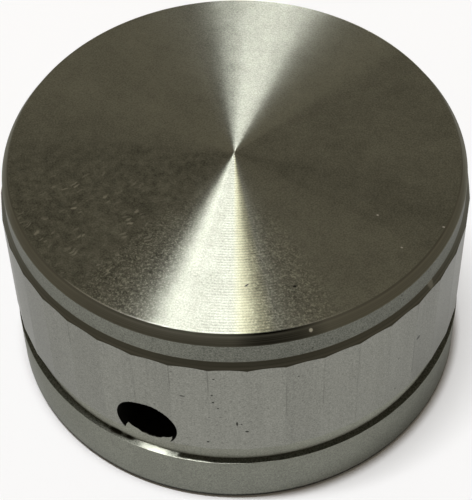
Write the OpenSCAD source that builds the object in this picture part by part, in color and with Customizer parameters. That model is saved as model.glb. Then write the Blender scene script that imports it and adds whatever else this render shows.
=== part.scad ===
// Control knob turned from one aluminium bar, with a ring of milled flats to grip,
// a groove under them, a round flange at the foot and a set screw in a radial hole.
// Millimetres. Origin in the middle of the foot, +Z up the turning axis, set screw along -Y.

/* [Turned body] */
// Diameter of the foot flange, and over the corners between the flats
knob_d = 44; // [36:0.5:60]
// Height from the foot to the top face
knob_h = 24.4; // [22:0.1:40]
// Height of the foot flange
flange_h = 5.9; // [3:0.1:7]
// Chamfer round the foot
foot_chamfer = 0.3; // [0.1:0.05:0.8]
// Height of the groove between the flange and the flats
groove_h = 2.4; // [1:0.1:4]
// Depth of the groove, from the flange's diameter
groove_depth = 0.65; // [0.4:0.05:1.5]
// Depth of the plain neck above the flats, from the flange's diameter
neck_depth = 0.45; // [0.4:0.05:1.5]
// Height of the plain neck
neck_h = 2.15; // [1:0.05:4]
// Height of the sloping shoulder between the neck and the corners of the flats
shoulder_h = 0.85; // [0.3:0.05:2]
// Width of the chamfer round the top face
top_chamfer_w = 0.65; // [0.2:0.05:2]
// Height of the chamfer round the top face
top_chamfer_h = 1; // [0.2:0.05:2]

/* [Milled flats] */
// Number of flats round the knob
flat_count = 40; // [24:2:60]
// Angle from the set screw to a corner between two flats
flat_phase = -2.1; // [-7.5:0.1:7.5]

/* [Shaft bore] */
// Diameter of the shaft bore
bore_d = 10; // [8:0.5:14]
// Depth of the bore's straight wall, from the foot
bore_depth = 18; // [15:0.5:20]
// Chamfer round the mouth of the bore
bore_chamfer = 0.5; // [0.2:0.1:1.5]
// Point angle of the drill that started the bore
drill_angle = 118; // [90:1:140]

/* [Set screw] */
// Diameter of the plain hole that the screw and its key go in by
key_hole_d = 6; // [5.5:0.5:8]
// Height of the hole's axis above the foot
hole_z = 10.25; // [8:0.05:13]
// Length of the tapped hole, from the bore's wall to the plain hole
tapped_len = 9; // [8:0.5:13]
// Thread diameter of the set screw and of its tapped hole
screw_d = 5; // [4:0.5:5.5]
// Length of the set screw
screw_len = 8; // [6:1:14]
// Gap left between the screw's point and the shaft
point_gap = 0.2; // [0.1:0.05:1]
// Clearance all round the screw in its thread
thread_clearance = 0.05; // [0.02:0.01:0.15]
// Chamfer at the screw's point
point_chamfer = 0.8; // [0.3:0.05:1]
// Width of the ring round the cup in the screw's point
cup_rim = 0.4; // [0.2:0.05:0.7]
// Depth of that cup
cup_depth = 0.6; // [0.3:0.05:1]
// Chamfer at the screw's socket end
screw_chamfer = 0.4; // [0.1:0.05:0.5]
// Hex socket, across flats
socket_af = 2.5; // [1.5:0.5:3]
// Depth of the hex socket
socket_depth = 3; // [2:0.5:4]
// How far the hole drilled before the socket was pressed lies inside its flats
pilot_inset = 0.15; // [0.1:0.05:0.4]

/* [Hidden] */
$fn = 144;

knob_r = knob_d / 2;
groove_r = knob_r - groove_depth;
neck_r = knob_r - neck_depth;
top_r = neck_r - top_chamfer_w;
// Heights of the turned edges, from the foot up
groove_top = flange_h + groove_h;
neck_top = knob_h - top_chamfer_h;
neck_foot = neck_top - neck_h;
// The band is turned this much oversize, and milling the flats takes it off
milling_stock = 0.5;
stock_drop = milling_stock * shoulder_h / neck_depth;
// Cuts run this far past the faces that they open
overshoot = 1;
bore_r = bore_d / 2;
drill_point = bore_r / tan(drill_angle / 2);
key_hole_r = key_hole_d / 2;
tapped_r = screw_d / 2;
// The plain hole starts at this distance from the turning axis, past the cone that its drill leaves
key_hole_start = bore_r + tapped_len;
key_hole_cone = (key_hole_r - tapped_r) / tan(drill_angle / 2);
screw_r = tapped_r - thread_clearance;
point_r = screw_r - point_chamfer;
pilot_r = socket_af / 2 - pilot_inset;
pilot_point = pilot_r / tan(drill_angle / 2);

// Half section of the bar as it leaves the lathe, foot at the bottom
module turned_section() {
    polygon([
        [0, 0],
        [knob_r - foot_chamfer, 0],
        [knob_r, foot_chamfer],
        [knob_r, flange_h],
        [groove_r, flange_h],
        [groove_r, groove_top],
        [knob_r + milling_stock, groove_top],
        [knob_r + milling_stock, neck_foot - shoulder_h - stock_drop],
        [neck_r, neck_foot],
        [neck_r, neck_top],
        [top_r, knob_h],
        [0, knob_h]
    ]);
}

// Polygon that the flats leave, with its corners on the knob's diameter
module flats_outline() {
    polygon([
        for (i = [0 : flat_count - 1])
            let (angle = flat_phase - 90 + i * 360 / flat_count)
                knob_r * [cos(angle), sin(angle)]
    ]);
}

// What the milling cutter takes off as the bar is indexed round, from the groove up
module milled_off() {
    translate([0, 0, flange_h + groove_h / 2])
        linear_extrude(knob_h)
            difference() {
                circle(knob_r + milling_stock + overshoot);
                flats_outline();
            }
}

// Blind bore for the shaft, with a chamfered mouth and the drill's point at its end
module shaft_bore() {
    rotate_extrude()
        polygon([
            [0, -overshoot],
            [bore_r + bore_chamfer + overshoot, -overshoot],
            [bore_r, bore_chamfer],
            [bore_r, bore_depth],
            [0, bore_depth + drill_point]
        ]);
}

// Turns a shape from the vertical onto the axis of the set screw, pointing outwards
module on_screw_axis() {
    translate([0, 0, hole_z])
        rotate([90, 0, 0])
            children();
}

// Radial hole, tapped from the bore outwards and opened up to a plain hole the rest of the way.
// It is low enough to break through the foot of the flats into the groove.
module screw_hole() {
    rotate_extrude()
        polygon([
            [0, 0],
            [tapped_r, 0],
            [tapped_r, key_hole_start - key_hole_cone],
            [key_hole_r, key_hole_start],
            [key_hole_r, knob_r + overshoot],
            [0, knob_r + overshoot]
        ]);
}

module knob_body() {
    color("silver")
        difference() {
            rotate_extrude()
                turned_section();
            milled_off();
            shaft_bore();
            on_screw_axis()
                screw_hole();
        }
}

// Half section of the set screw, with its cup point at the bottom
module screw_section() {
    polygon([
        [0, cup_depth],
        [point_r - cup_rim, 0],
        [point_r, 0],
        [screw_r, point_chamfer],
        [screw_r, screw_len - screw_chamfer],
        [screw_r - screw_chamfer, screw_len],
        [0, screw_len]
    ]);
}

// Hex socket with the point of its pilot drill under it, floor of the hex at the bottom
module hex_socket() {
    cylinder(d = socket_af / cos(30), h = socket_depth + overshoot, $fn = 6);
    rotate_extrude()
        polygon([[0, -pilot_point], [pilot_r, 0], [pilot_r, socket_depth / 2], [0, socket_depth / 2]]);
}

module grub_screw() {
    color("dimgray")
        on_screw_axis()
            translate([0, 0, bore_r + point_gap])
                difference() {
                    rotate_extrude()
                        screw_section();
                    translate([0, 0, screw_len - socket_depth])
                        hex_socket();
                }
}

knob_body();
grub_screw();
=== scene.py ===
import math

import bmesh
import bpy
from mathutils import Matrix, Quaternion, Vector, noise


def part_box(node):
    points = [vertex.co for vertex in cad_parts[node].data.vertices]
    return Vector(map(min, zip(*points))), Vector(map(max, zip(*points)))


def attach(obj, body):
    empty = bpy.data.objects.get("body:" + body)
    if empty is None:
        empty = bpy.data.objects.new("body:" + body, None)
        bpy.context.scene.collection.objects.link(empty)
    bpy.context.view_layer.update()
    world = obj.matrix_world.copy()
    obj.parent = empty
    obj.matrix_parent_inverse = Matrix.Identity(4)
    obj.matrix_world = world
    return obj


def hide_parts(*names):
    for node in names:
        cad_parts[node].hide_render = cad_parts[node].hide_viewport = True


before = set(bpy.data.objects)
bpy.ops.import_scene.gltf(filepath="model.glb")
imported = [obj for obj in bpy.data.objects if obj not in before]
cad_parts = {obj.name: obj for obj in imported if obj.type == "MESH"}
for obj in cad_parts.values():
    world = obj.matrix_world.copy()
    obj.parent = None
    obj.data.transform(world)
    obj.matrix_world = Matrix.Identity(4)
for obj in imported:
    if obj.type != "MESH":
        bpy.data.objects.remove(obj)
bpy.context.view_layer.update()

# Knob body: one length of bare aluminium bar, faced, chamfered, necked and grooved on a lathe.
# The band between neck and groove was then milled flat by flat on a dividing head, and the bar
# bored from its foot and drilled through the side, where the drill broke out into the groove.
MM = 0.001
close = 1e-3 * MM
body_low, body_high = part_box("knob_body")
knob_r = (body_high.x - body_low.x) / 2 - close
knob_h = body_high.z
flange_h = 5.9 * MM
groove_top = flange_h + 2.4 * MM
groove_r = knob_r - 0.65 * MM
neck_r = knob_r - 0.45 * MM
neck_top = knob_h - 1.0 * MM
neck_foot = neck_top - 2.15 * MM
shoulder_h = 0.85 * MM
top_r = neck_r - 0.65 * MM
foot_chamfer = 0.3 * MM
foot_round = 0.25 * MM
bore_r = 5 * MM
bore_depth = 18 * MM
bore_chamfer = 0.5 * MM
drill_slope = math.tan(math.radians(59))
milling_stock = 0.5 * MM
stock_drop = milling_stock * shoulder_h / (knob_r - neck_r)
edge_break = 0.05 * MM
turning_steps = 360
FACED, TURNED, CONE, MILLED, DRILLED = range(5)


def half_section(mesh, points):
    """Draws a half section in the XZ plane through points of radius and height."""
    corners = [mesh.verts.new((r, 0, z)) for r, z in points]
    for start, end in zip(corners, corners[1:]):
        mesh.edges.new((start, end))


def turn(mesh, steps):
    """Spins the half section once round the Z axis into a closed skin that faces outwards."""
    bmesh.ops.spin(mesh, geom=mesh.verts[:] + mesh.edges[:], cent=(0, 0, 0), axis=(0, 0, 1),
                   angle=2 * math.pi, steps=steps, use_merge=True)
    bmesh.ops.remove_doubles(mesh, verts=mesh.verts, dist=close)
    bmesh.ops.recalc_face_normals(mesh, faces=mesh.faces)
    for face in mesh.faces:
        face.smooth = True


bar = bmesh.new()
half_section(bar, [
    (0, bore_depth + bore_r / drill_slope),
    (bore_r, bore_depth),
    (bore_r, bore_chamfer),
    (bore_r + bore_chamfer, 0),
    (knob_r - foot_chamfer, 0),
    (knob_r, foot_chamfer),
    (knob_r, flange_h),
    (groove_r, flange_h),
    (groove_r, groove_top),
    (knob_r + milling_stock, groove_top),
    (knob_r + milling_stock, neck_foot - shoulder_h - stock_drop),
    (neck_r, neck_foot),
    (neck_r, neck_top),
    (top_r, knob_h),
    (0, knob_h),
])
turn(bar, turning_steps)
level, upright = 0.95, 0.1
for face in bar.faces:
    if face.normal.z > level and face.calc_center_median().z > neck_top:
        face.material_index = FACED
    else:
        face.material_index = CONE if upright < abs(face.normal.z) < level else TURNED

broken_edges = [(knob_r - foot_chamfer, 0), (knob_r, flange_h), (groove_r, flange_h),
                (neck_r, neck_foot), (neck_r, neck_top), (top_r, knob_h)]


def runs_along(edge, r, z):
    return all(abs(vert.co.xy.length - r) < close and abs(vert.co.z - z) < close for vert in edge.verts)


foot_edges = [(knob_r, foot_chamfer)]
for rims, rounding, steps in ((foot_edges, foot_round, 4), (broken_edges, edge_break, 2)):
    chosen = [edge for edge in bar.edges if any(runs_along(edge, r, z) for r, z in rims)]
    bmesh.ops.bevel(bar, geom=chosen, offset=rounding, offset_type="OFFSET", affect="EDGES",
                    segments=steps, profile=0.5, material=-1)

flat_count = 40
flat_step = 2 * math.pi / flat_count
flat_phase = math.radians(-2.1)
flat_distance = knob_r * math.cos(flat_step / 2)
for i in range(flat_count):
    facing = flat_phase - math.pi / 2 + (i + 0.5) * flat_step
    outward = Vector((math.cos(facing), math.sin(facing), 0))
    above = {vert for vert in bar.verts if vert.co.z > groove_top - close}
    band = list(above) + [item for item in bar.edges[:] + bar.faces[:] if above.issuperset(item.verts)]
    cut = bmesh.ops.bisect_plane(bar, geom=band, dist=1e-5 * MM, plane_co=outward * flat_distance,
                                 plane_no=outward, clear_outer=True)
    rim = [item for item in cut["geom_cut"] if isinstance(item, bmesh.types.BMEdge)]
    bmesh.ops.edgeloop_fill(bar, edges=rim, mat_nr=MILLED, use_smooth=False)
bmesh.ops.recalc_face_normals(bar, faces=bar.faces)


class Field:
    """A value or colour that varies over a surface: an output socket in a material's node tree."""

    def __init__(self, socket):
        self.socket = socket

    def node(self, kind, settings=(), sockets=(), output=0):
        """Adds a node to the tree: its settings first, then its sockets' values or links."""
        tree = self.socket.id_data
        made = tree.nodes.new(kind)
        for name, value in dict(settings).items():
            setattr(made, name, value)
        for name, value in dict(sockets).items():
            if isinstance(value, Field):
                tree.links.new(value.socket, made.inputs[name])
            else:
                made.inputs[name].default_value = value
        return Field(made.outputs[output])

    def math(self, operation, *values):
        return self.node("ShaderNodeMath", {"operation": operation}, enumerate(values))

    def __add__(self, other):
        return self.math("ADD", self, other)

    def __sub__(self, other):
        return self.math("SUBTRACT", self, other)

    def __rsub__(self, other):
        return self.math("SUBTRACT", other, self)

    def __mul__(self, other):
        return self.math("MULTIPLY", self, other)

    def __truediv__(self, other):
        return self.math("DIVIDE", self, other)

    def __rtruediv__(self, other):
        return self.math("DIVIDE", other, self)

    __radd__, __rmul__ = __add__, __mul__


def vector(operation, *values, output=0):
    return values[0].node("ShaderNodeVectorMath", {"operation": operation}, enumerate(values), output)


def scaled(direction, amount):
    return direction.node("ShaderNodeVectorMath", {"operation": "SCALE"}, {0: direction, "Scale": amount})


def fade(value, start, end):
    """0 up to the start and 1 from the end on, smooth between them. The end may be the smaller of the two."""
    return value.node("ShaderNodeMapRange", {"interpolation_type": "SMOOTHSTEP"},
                      {"Value": value, "From Min": start, "From Max": end})


def clouds(place, scale, detail=2.0):
    """Smooth noise about 0, with as many cells to a unit of the place as the scale says."""
    return place.node("ShaderNodeTexNoise", {}, {"Vector": place, "Scale": scale, "Detail": detail}) - 0.5


def lines(distance, scale):
    """Noise about 0 along one distance."""
    settings = {"noise_dimensions": "1D"}
    return distance.node("ShaderNodeTexNoise", settings, {"W": distance, "Scale": scale}) - 0.5


def blend(amount, under, over):
    return amount.node("ShaderNodeMix", {"data_type": "RGBA"}, {0: amount, 6: under, 7: over}, output=2)


def specks(place, size, share, dimensions="3D"):
    """Small spots, at most one in each cell of the place. Size is a share of the cell."""
    settings = {"voronoi_dimensions": dimensions}
    distance = place.node("ShaderNodeTexVoronoi", settings, {"Vector": place, "Scale": 1.0})
    chance = place.node("ShaderNodeSeparateColor", {}, {0: Field(distance.socket.node.outputs["Color"])})
    return fade(distance, size, size * 0.4) * fade(chance, 1 - share, 1.01 - share)


def cells(place, turned_by, sizes, centre=(0, 0, 0)):
    """Measures the place from a centre along axes turned about Z, in cells of the given sizes."""
    return place.node("ShaderNodeMapping", {"vector_type": "TEXTURE"},
                      {"Vector": place, "Location": centre, "Rotation": (0, 0, turned_by), "Scale": sizes})


def at_azimuth(azimuth, r, z):
    """A point at an azimuth in degrees, counted from the side hole to the right."""
    angle = math.radians(azimuth)
    return Vector((r * math.sin(angle), -r * math.cos(angle), z))


def spot(place, centre, turned_by, sizes):
    """A soft mark at a centre, with half sizes along axes turned about Z by an angle in degrees."""
    from_centre = cells(place, math.radians(turned_by), sizes, centre)
    return fade(vector("LENGTH", from_centre, output="Value"), 1, 0.5)


def sector(outward, azimuth, spread):
    """A soft sector to both sides of an azimuth, as wide as the spread on each."""
    along = vector("DOT_PRODUCT", outward, at_azimuth(azimuth, 1, 0), output="Value")
    return fade(along, math.cos(math.radians(spread)), 1)


def sectors(outward, shares):
    """The sum of soft sectors, each given by its azimuth, its spread and its share."""
    return sum(sector(outward, azimuth, spread) * share for azimuth, spread, share in shares)


def most(field, *others):
    """The largest of several fields."""
    for other in others:
        field = field.math("MAXIMUM", field, other)
    return field


class Finish:
    """A bare metal finish: its material, its shader and the fields that its marks are made from.
    Radius and height are in millimetres."""

    def __init__(self, name, roughness, anisotropic=0.0):
        self.material = bpy.data.materials.new(name)
        self.material.use_nodes = True
        tree = self.material.node_tree
        self.shader = tree.nodes["Principled BSDF"]
        self.place = Field(tree.nodes.new("ShaderNodeTexCoord").outputs["Object"])
        self.normal = Field(tree.nodes.new("ShaderNodeNewGeometry").outputs["Normal"])
        sideways = vector("MULTIPLY", self.place, (1, 1, 0))
        self.radius = vector("LENGTH", sideways, output="Value") / MM
        self.outward = vector("NORMALIZE", sideways)
        self.around = vector("CROSS_PRODUCT", self.outward, (0, 0, -1))
        self.up = self.place.node("ShaderNodeCombineXYZ", {}, {"Z": 1})
        self.height = self.place.node("ShaderNodeSeparateXYZ", {}, {0: self.place}, output="Z") / MM
        for socket, value in (("Metallic", 1), ("Roughness", roughness), ("Anisotropic", anisotropic),
                              ("Anisotropic Rotation", 0.25), ("Specular Tint", (0.67, 0.67, 0.67, 1))):
            self.shader.inputs[socket].default_value = value

    def colour(self, r, g, b, change):
        """A colour scaled by 1 plus a change."""
        plain = self.place.node("ShaderNodeCombineColor", {}, {0: r, 1: g, 2: b})
        return scaled(plain, change + 1)

    def lean(self, *leans):
        """Tilts the normal by pairs of a direction and a slope."""
        leaning = self.normal
        for direction, slope in leans:
            leaning = vector("ADD", leaning, scaled(direction, slope))
        self.feed("Normal", vector("NORMALIZE", leaning))

    def feed(self, name, field):
        self.material.node_tree.links.new(field.socket, self.shader.inputs[name])


# Top: faced with a fine, even feed from rim to middle, which leaves it a little hollow. The tool marks
# spread light along the radius and hardly across it, so a lamp shows as bright sectors. It is lightly
# scratched on the left, and painted frosty glints lie at the edges of the front sector.
faced = Finish("faced_aluminium", 0.275, 1.0)
hollow_start, hollow_per_mm = 0.035, 0.0078
tool_marks_per_mm, tool_mark_slope = 250.0, 1.8
grain_slope = 50
hollow = hollow_start - faced.radius * hollow_per_mm
tool_marks = lines(faced.radius, tool_marks_per_mm) * tool_mark_slope
grain = clouds(faced.place, 40000, 0.0)
grain_share = clouds(faced.place, 8000, 1.0) * 3 + 1
faced.lean((faced.outward, hollow + tool_marks),
           (faced.around, grain.math("POWER", grain, 5) * grain_slope * grain_share))

feed_pitch = 0.30
feed_angle = faced.radius * (2 * math.pi / feed_pitch)
feed_lines = feed_angle.math("SINE", feed_angle) * (clouds(faced.place, 120) + 0.5)
# Painted glints: frosty speckle where the edges of the front bright sector fall, and feed lines brightened
# across its right half.
glint_edges = sectors(faced.outward, ((-9, 14, 1), (38, 14, 1))) * fade(faced.radius, 3, 14)
frost = fade(clouds(faced.place, 6000, 1.0), -0.05, 0.3) * 1.2 + clouds(faced.place, 2500) * 1.2 - 0.1
mottle_and_painted_glints = clouds(faced.place, 300) * 0.35 + clouds(faced.place, 900) * 0.3
mottle_and_painted_glints = mottle_and_painted_glints + clouds(faced.place, 7000, 1.0) + clouds(faced.outward, 6.0) * 0.25
mottle_and_painted_glints = mottle_and_painted_glints + sector(faced.outward, -42, 40) * clouds(faced.place, 1500)
mottle_and_painted_glints = mottle_and_painted_glints + feed_lines * (sector(faced.outward, 25, 14) * 0.3 + 0.04) + glint_edges * frost
# Painted sheen and shade: soft sectors that lighten or darken the face where the light fell on it, and
# sharpen the edges of the bright sectors.
painted_sheen_and_shade = sectors(faced.outward, (
    (-174, 14, 0.12), (-152, 11, -0.3), (-122, 45, 0.22), (-42, 40, -0.2), (-5, 5, -0.2), (6, 4, 0.14),
    (25, 4, 0.14), (52, 26, 0.1), (89, 14, -0.12), (163, 16, 0.3)))
# Painted tint: the light's yellowish edge at the right of the front bright sector.
painted_straw_tint = sector(faced.outward, 27, 6)
face_colour = faced.colour(painted_straw_tint * 0.012 + 0.298, 0.309, 0.265 - painted_straw_tint * 0.045, mottle_and_painted_glints + painted_sheen_and_shade)

scratch_angle = math.radians(57)
scratch_cell = (1.5 * MM, 0.5 * MM, 1)
worn_middle = (-9.1 * MM, -13 * MM, knob_h)
wander = faced.place.node("ShaderNodeTexNoise", {}, {"Vector": faced.place, "Scale": 700}, output="Color")
wandering = vector("ADD", faced.place, scaled(vector("SUBTRACT", wander, (0.5, 0.5, 0.5)), 1.2 * MM))
scratches = specks(cells(wandering, scratch_angle, scratch_cell), 0.28, 0.55, "2D")
from_worn = vector("DISTANCE", faced.place, worn_middle, output="Value") / MM
scratches = scratches * fade(from_worn, 9, 4) * fade(clouds(faced.place, 500), -0.15, 0.3) * 0.8
face_colour = blend(scratches, face_colour, (0.75, 0.75, 0.68, 1))
for x, y, turned_by, length, width, shade in (
        (6.9, -14.1, 60, 0.3, 0.1, 0.05), (10.8, -12.7, 20, 0.2, 0.16, 0.04),
        (14.8, -2.4, 0, 0.14, 0.12, 1.0), (20.7, -1.6, 0, 0.16, 0.12, 1.0), (18.0, -5.2, 0, 0.14, 0.1, 1.0)):
    mark = spot(faced.place, (x * MM, y * MM, knob_h), turned_by, (length * MM, width * MM, MM))
    face_colour = blend(mark, face_colour, (shade, shade, shade, 1))
top_edge = top_r / MM
# Painted highlight: a thin pale line along the top edge in two sectors.
rim_highlight = fade(faced.radius, top_edge - 0.16, top_edge - 0.06)
rim_highlight = rim_highlight * sectors(faced.outward, ((-8, 18, 0.5), (42, 10, 0.25)))
faced.feed("Base Color", blend(rim_highlight, face_colour, (0.9, 0.9, 0.85, 1)))

# Turned walls: the flange, the groove with its ledge, and the neck, cut with the same tool as the top.
# The neck is pitted, mostly on the right, and dirt sits on the ledge left of the hole. Their colour also
# carries painted shade and light.
turned = Finish("turned_aluminium", 0.36, 0.8)
dirt_colour = (0.03, 0.028, 0.02, 1)
ledge_z, groove_top_z, neck_z = flange_h / MM, groove_top / MM, neck_foot / MM
knob_edge, groove_edge = knob_r / MM, groove_r / MM
wall_lines = lines(turned.height, 9.0)
on_neck = fade(turned.height, groove_top_z, neck_z)
on_flange = fade(turned.height, ledge_z + 0.1, ledge_z - 0.1)
groove_wall = fade(turned.radius, groove_edge + 0.27, groove_edge + 0.15)
groove_wall = groove_wall * fade(turned.height, ledge_z + 0.02, ledge_z + 0.1)
groove_wall = groove_wall * fade(turned.height, groove_top_z + 0.2, groove_top_z + 0.1)
line_slope, groove_slope = 0.15, 0.27
turned.lean((turned.up, wall_lines * line_slope + groove_wall * groove_slope))
ledge = fade(turned.height, ledge_z - 0.06, ledge_z - 0.02)
ledge = ledge * fade(turned.height, ledge_z + 0.04, ledge_z + 0.01)
ledge = ledge * fade(turned.radius, knob_edge - 0.01, knob_edge - 0.06)
# The flange is darker overall, with painted shade on its right. Painted shade darkens the neck, less on its
# left, and the ledge under the flats, which is painted light again where the lamp's glint falls. A painted
# shadow runs along the foot.
flange_dark, neck_painted_shade, ledge_painted_shade, foot_painted_shadow = 0.25, 0.47, 0.45, 0.75
wall_tone_and_painted_shade = on_flange * (sector(turned.outward, 95, 50) * -0.1 - flange_dark)
wall_tone_and_painted_shade = wall_tone_and_painted_shade + on_neck * (sector(turned.outward, -30, 60) * 0.1 - neck_painted_shade)
wall_tone_and_painted_shade = wall_tone_and_painted_shade + ledge * (sector(turned.outward, 1, 4.5) * 0.85 - ledge_painted_shade)
wall_tone_and_painted_shade = wall_tone_and_painted_shade - fade(turned.height, 0.75, 0.45) * foot_painted_shadow
wall_tone_and_painted_shade = wall_tone_and_painted_shade + clouds(turned.place, 400) * 0.15 + clouds(turned.place, 7000) + wall_lines * 0.2
wall_colour = turned.colour(0.29, 0.30, 0.255, wall_tone_and_painted_shade)
pits = specks(cells(turned.place, 0, (0.7 * MM, 0.7 * MM, 0.5 * MM)), 0.24, 0.3)
pits = pits * fade(clouds(turned.place, 150), -0.04, 0.06)
pits = pits * on_neck * (sector(turned.outward, 65, 45) * 0.8 + 0.2)
dirt = spot(turned.place, at_azimuth(-9, groove_r, flange_h), -9, (2.2 * MM, 0.6 * MM, 0.35 * MM))
dirt = dirt * fade(clouds(turned.place, 900), -0.2, 0.05)
turned.feed("Base Color", blend(most(pits, dirt), wall_colour, dirt_colour))

# Cones: the chamfers round the top and the foot, and the shoulder above the flats, cut with the tool set
# over. They are painted darker than the walls as shade and show the tool's lines. The top chamfer is
# nicked on the right, and the shoulder has a painted highlight there.
cone = Finish("cone_cut_aluminium", 0.28, 0.5)
cone.shader.inputs["Specular Tint"].default_value = (0.45, 0.45, 0.45, 1)
cone.lean((cone.up, 0.35))
cone_lines = lines(cone.height, 5.0) * (clouds(cone.outward, 3.0) + 0.3)
on_chamfer = fade(cone.height, neck_z, neck_top / MM)
# Painted shade: a painted shadow along the foot, and the top chamfer lighter overall but darker in sectors at
# its front.
cone_foot_painted_shadow = 0.8
cone_shade = cone_lines * 4 - fade(cone.height, 0.65, 0.4) * cone_foot_painted_shadow
cone_shade = cone_shade + on_chamfer * (sectors(cone.outward, ((10, 35, -0.5), (33, 12, -0.85))) + 0.6)
cone_colour = cone.colour(0.14, 0.139, 0.114, cone_shade)
chamfer_nick = spot(cone.place, at_azimuth(40, top_r, knob_h - 0.5 * MM), 40, (0.22 * MM, 2 * MM, 0.2 * MM))
# A faint painted highlight: a pale streak across the shoulder on the right.
shoulder_highlight = spot(cone.place, at_azimuth(75.4, knob_r, neck_foot), 75.4, (0.5 * MM, 2 * MM, 0.9 * MM))
cone.feed("Base Color", blend(most(chamfer_nick, shoulder_highlight * 0.2), cone_colour, (0.9, 0.9, 0.8, 1)))

# Flats: milled one by one with the side of a cutter, so they are matt and streaked upright, and each has a
# shade of its own. Some corners between them are dark with dirt, and so are nicks and smudges.
milled = Finish("milled_aluminium", 0.32)
streaks = clouds(vector("MULTIPLY", milled.place, (2500, 2500, 120)), 1.0) * 0.15
streaks = streaks + clouds(vector("MULTIPLY", milled.place, (500, 500, 20)), 1.0) * 0.15
flat_shade = clouds(milled.normal, 9.0) * 0.3 + streaks + clouds(milled.place, 7000) * 1.3
flat_colour = milled.colour(0.236, 0.24, 0.212, flat_shade)
sideways = milled.place.node("ShaderNodeSeparateXYZ", {}, {0: milled.outward})
backwards = Field(sideways.socket.node.outputs["Y"])
around_knob = sideways.math("ARCTAN2", sideways, backwards * -1)
flat_number = (around_knob - flat_phase) / flat_step
from_corner = flat_number.math("PINGPONG", flat_number, 0.5) * (flat_step * knob_r / MM)
dark_corners = fade(from_corner, 0.09, 0.02) * fade(clouds(milled.place, 160), 0.0, 0.15) * 0.3
smudges = specks(cells(milled.place, 0, (0.5 * MM, 0.5 * MM, 0.4 * MM)), 0.3, 0.3)
smudges = smudges * fade(clouds(milled.place, 130), -0.05, 0.12) * 0.45
nicks = specks(cells(milled.place, 0, (1.1 * MM, 1.1 * MM, 0.9 * MM)), 0.13, 0.12)
dark_marks = most(nicks, smudges, dark_corners)
for azimuth, z, width, height in (
        (16.7, 16.8, 0.12, 0.14), (16.9, 15.7, 0.14, 0.16), (9.7, 16.1, 0.34, 0.1), (18.0, 14.8, 0.12, 0.12),
        (22.3, 12.4, 0.12, 0.4), (24.6, 11.2, 0.22, 0.16), (15.3, 9.4, 0.16, 0.16), (71.3, 14.9, 0.36, 0.26)):
    middle = at_azimuth(azimuth, knob_r, z * MM)
    dark_marks = most(dark_marks, spot(milled.place, middle, azimuth, (width * MM, 2 * MM, height * MM)))
milled.feed("Base Color", blend(dark_marks, flat_colour, (0.03, 0.03, 0.025, 1)))

# Side hole: drilled in from the flats for the set screw and its key, plain outside and tapped further in.
# Its inside is painted near black as shade, its rim is ragged, and the drill left a burr where it broke into
# the groove.
drilled = Finish("drilled_aluminium", 0.5)
# Painted shade: the hole's walls are coloured near black.
drilled.feed("Base Color", drilled.colour(0.03, 0.029, 0.025, clouds(drilled.place, 2000)))


def new_piece(name, mesh, finishes):
    """Makes a bmesh an object at the origin and links it to the scene."""
    data = bpy.data.meshes.new(name)
    mesh.to_mesh(data)
    mesh.free()
    for material in finishes:
        data.materials.append(material)
    piece = bpy.data.objects.new(name, data)
    bpy.context.scene.collection.objects.link(piece)
    return piece


body_finishes = [finish.material for finish in (faced, turned, cone, milled, drilled)]
knob_body = new_piece("knob_body_turned", bar, body_finishes)

hole_z = 10.25 * MM
key_hole_r = 3 * MM
tapped_r = 2.5 * MM
key_hole_start = bore_r + 9 * MM
lip_burr, lip_unevenness = 0.72 * MM, 0.75
lip_start = 0.6
lip_ring = groove_r - 0.05 * MM
lip_root, lip_face = lip_ring - 0.30 * MM, lip_ring + 0.15 * MM
rim_burr, rim_depth = 0.1 * MM, 0.12 * MM
rag_scale, fine_rag_scale, fine_rag_share = 2500, 6000, 0.6
drill_steps = 144
drill = bmesh.new()
half_section(drill, [
    (0, 0),
    (tapped_r, 0),
    (tapped_r, key_hole_start - (key_hole_r - tapped_r) / drill_slope),
    (key_hole_r, key_hole_start),
    (key_hole_r, lip_root),
    (key_hole_r, lip_ring),
    (key_hole_r, lip_face),
    (key_hole_r, flat_distance - rim_depth),
    (key_hole_r, flat_distance),
    (key_hole_r, knob_r + milling_stock),
    (0, knob_r + milling_stock),
])
turn(drill, drill_steps)
for vert in drill.verts:
    across = Vector((vert.co.x, vert.co.y, 0))
    if across.length > key_hole_r - close:
        ragged = noise.noise(vert.co * rag_scale) + fine_rag_share * noise.noise(vert.co * fine_rag_scale)
        low = -vert.co.y / key_hole_r
        if abs(vert.co.z - lip_ring) < close:
            uneven = 1 + lip_unevenness * ragged
            across *= 1 - lip_burr * max(0, low - lip_start) * uneven / key_hole_r
        elif vert.co.z > flat_distance - close:
            across *= 1 + rim_burr * ragged / key_hole_r
        vert.co.xy = across.xy
for face in drill.faces:
    face.material_index = DRILLED
onto_hole_axis = Matrix.Translation((0, 0, hole_z)) @ Matrix.Rotation(math.pi / 2, 4, "X")
bmesh.ops.transform(drill, matrix=onto_hole_axis, verts=drill.verts)


def cut_away(piece, tool):
    """Cuts the tool's shape out of the piece and removes the tool."""
    cutting = piece.modifiers.new("cut", "BOOLEAN")
    cutting.object = tool
    cutting.operation = "DIFFERENCE"
    cutting.solver = "EXACT"
    cut_mesh = bpy.data.meshes.new_from_object(piece.evaluated_get(bpy.context.evaluated_depsgraph_get()))
    piece.modifiers.clear()
    piece.data = cut_mesh
    bpy.data.objects.remove(tool)


cut_away(knob_body, new_piece("drill", drill, body_finishes))
knob_body.data.set_sharp_from_angle(angle=math.radians(25))
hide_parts("knob_body")
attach(knob_body, "root")

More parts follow.
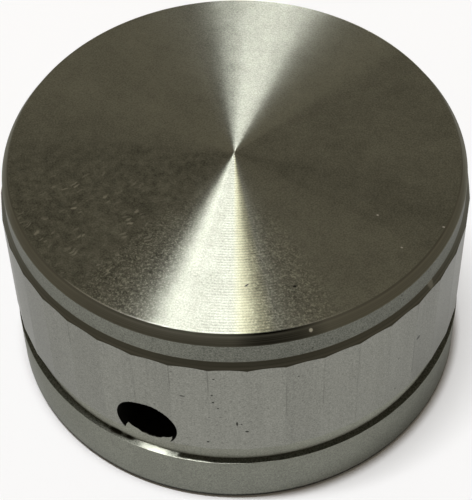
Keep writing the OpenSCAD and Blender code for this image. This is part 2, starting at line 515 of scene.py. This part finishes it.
# Set screw: a threaded socket screw of blackened steel with a cup point, bought in and screwed
# down the tapped end of the side hole with a hex key. It stops just short of the bore.
blackened = Finish("blackened_steel", 0.4)
blackened.feed("Base Color", blackened.colour(0.05, 0.05, 0.052, clouds(blackened.place, 1500)))
screw_low, screw_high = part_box("grub_screw")
screw_r = (screw_high.x - screw_low.x) / 2 - close
screw_point, screw_end = -screw_high.y + close, -screw_low.y - close
thread_pitch = 0.8 * MM
thread_depth = 0.45 * MM
thread_rows = 8
screw_steps = 64
point_chamfer, cup_rim, cup_depth, end_chamfer = 0.8 * MM, 0.4 * MM, 0.6 * MM, 0.4 * MM
point_r = screw_r - point_chamfer
thread_start, thread_end = screw_point + point_chamfer, screw_end - end_chamfer
row_count = round((thread_end - thread_start) / thread_pitch * thread_rows)
screw_mesh = bmesh.new()
half_section(screw_mesh, [
    (0, screw_point + cup_depth),
    (point_r - cup_rim, screw_point),
    (point_r, screw_point),
    *[(screw_r, thread_start + (thread_end - thread_start) * i / row_count) for i in range(row_count + 1)],
    (screw_r - end_chamfer, screw_end),
    (0, screw_end),
])
turn(screw_mesh, screw_steps)
for vert in screw_mesh.verts:
    if vert.co.xy.length > screw_r - close:
        turns = vert.co.z / thread_pitch - math.atan2(vert.co.y, vert.co.x) / (2 * math.pi)
        vert.co.xy *= 1 - thread_depth * abs(2 * (turns % 1) - 1) / screw_r
bmesh.ops.transform(screw_mesh, matrix=onto_hole_axis, verts=screw_mesh.verts)
grub_screw = new_piece("grub_screw_threaded", screw_mesh, [blackened.material])
socket_across = 2.5 * MM
socket_corner_r = socket_across / 2 / math.cos(math.radians(30))
socket_depth = 3 * MM
socket = bmesh.new()
bmesh.ops.create_cone(socket, cap_ends=True, segments=6, radius1=socket_corner_r, radius2=socket_corner_r,
                      depth=2 * socket_depth)
bmesh.ops.transform(socket, matrix=onto_hole_axis @ Matrix.Translation((0, 0, screw_end)), verts=socket.verts)
cut_away(grub_screw, new_piece("socket_punch", socket, [blackened.material]))
grub_screw.data.set_sharp_from_angle(angle=math.radians(35))
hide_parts("grub_screw")
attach(grub_screw, "root")

# Floor: a plain pale sheet under the knob. The camera and reflections see it part white of its own, which
# lightens its shadow, but not right at the knob's foot.
floor_r = 6
floor_mesh = bmesh.new()
bmesh.ops.create_circle(floor_mesh, cap_ends=True, radius=floor_r, segments=128)
floor_paint = bpy.data.materials.new("floor_paint")
floor_paint.use_nodes = True
floor_shader = floor_paint.node_tree.nodes["Principled BSDF"]
floor_shader.inputs["Base Color"].default_value = (0.97, 0.975, 1.0, 1)
floor_shader.inputs["Roughness"].default_value = 1
floor_shader.inputs["Specular IOR Level"].default_value = 0
paint_nodes = floor_paint.node_tree
light_path = paint_nodes.nodes.new("ShaderNodeLightPath")
white_to_camera, white_to_reflections = 0.45, 0.12
seen = Field(light_path.outputs["Is Camera Ray"]) * white_to_camera
seen = seen + Field(light_path.outputs["Is Glossy Ray"]) * white_to_reflections
floor_place = Field(paint_nodes.nodes.new("ShaderNodeTexCoord").outputs["Object"])
from_axis = vector("LENGTH", floor_place, output="Value") / MM
white = seen.node("ShaderNodeEmission", {}, {"Color": (1, 1, 1, 1), "Strength": 1})
clear_of_foot = fade(from_axis, knob_r / MM, knob_r / MM + 1)
painted = Field(floor_shader.outputs[0])
pale = seen.node("ShaderNodeMixShader", {}, {0: seen * clear_of_foot, 1: painted, 2: white})
paint_nodes.links.new(pale.socket, paint_nodes.nodes["Material Output"].inputs["Surface"])
floor = new_piece("floor", floor_mesh, [floor_paint])

# Light: one overhead strip of soft light, mostly left of the camera's line, in a dim warm room that is darker
# behind the camera. The faced top spreads the strip out into two bright sectors.
view_azimuth = math.radians(23.24)
to_view = Matrix.Rotation(view_azimuth, 4, "Z")
strip_height = 2.5
strip_left, strip_right = -0.288 * strip_height, 0.037 * strip_height
strip_near, strip_far = -0.022 * strip_height, 0.026 * strip_height
strip_radiance = 159
strip = bpy.data.lights.new("strip", "AREA")
strip.shape = "RECTANGLE"
strip.size = strip_right - strip_left
strip.size_y = strip_far - strip_near
strip.energy = strip_radiance * math.pi * strip.size * strip.size_y
strip_object = bpy.data.objects.new("strip", strip)
strip_middle = Vector(((strip_left + strip_right) / 2, (strip_near + strip_far) / 2, strip_height))
strip_object.location = to_view @ strip_middle
strip_object.rotation_euler = (0, 0, view_azimuth)
bpy.context.scene.collection.objects.link(strip_object)
room = bpy.data.worlds.new("room")
room.use_nodes = True
toward = Field(room.node_tree.nodes.new("ShaderNodeTexCoord").outputs["Generated"])
dark_elevation, dark_outer, dark_inner = math.radians(18), math.radians(45), math.radians(20)
dark_middle = to_view @ Vector((0, -math.cos(dark_elevation), math.sin(dark_elevation)))
toward_dark = vector("DOT_PRODUCT", toward, dark_middle, output="Value")
dark_patch = fade(toward_dark, math.cos(dark_outer), math.cos(dark_inner))
room_colour, dark_colour = (0.231, 0.203, 0.157, 1), (0.16, 0.14, 0.105, 1)
room_light = blend(dark_patch, room_colour, dark_colour)
room.node_tree.links.new(room_light.socket, room.node_tree.nodes["Background"].inputs["Color"])
bpy.context.scene.world = room

# Camera: hand held, in front of the knob and looking down on it, with the side hole left of its line.
view_elevation = math.radians(46.894)
view_distance = 7.0708 * knob_r
view_aim = Vector((-0.069 * MM, 0, 10.37 * MM))
view_roll = math.radians(-1.481)
focal_pixels = 1682.3
image_long_side = 500
camera_data = bpy.data.cameras.new("camera")
camera_data.sensor_width = 36
camera_data.lens = focal_pixels * camera_data.sensor_width / image_long_side
camera_data.clip_start = 10 * MM
camera = bpy.data.objects.new("camera", camera_data)
view_back, view_rise = view_distance * math.cos(view_elevation), view_distance * math.sin(view_elevation)
stand = Vector((0, -view_back, knob_h + view_rise))
look = (view_aim - stand).to_track_quat("-Z", "Y") @ Quaternion((0, 0, 1), view_roll)
camera.matrix_world = to_view @ Matrix.LocRotScale(stand, look, None)
bpy.context.scene.collection.objects.link(camera)
bpy.context.scene.camera = camera
bpy.context.scene.view_settings.view_transform = "Standard"
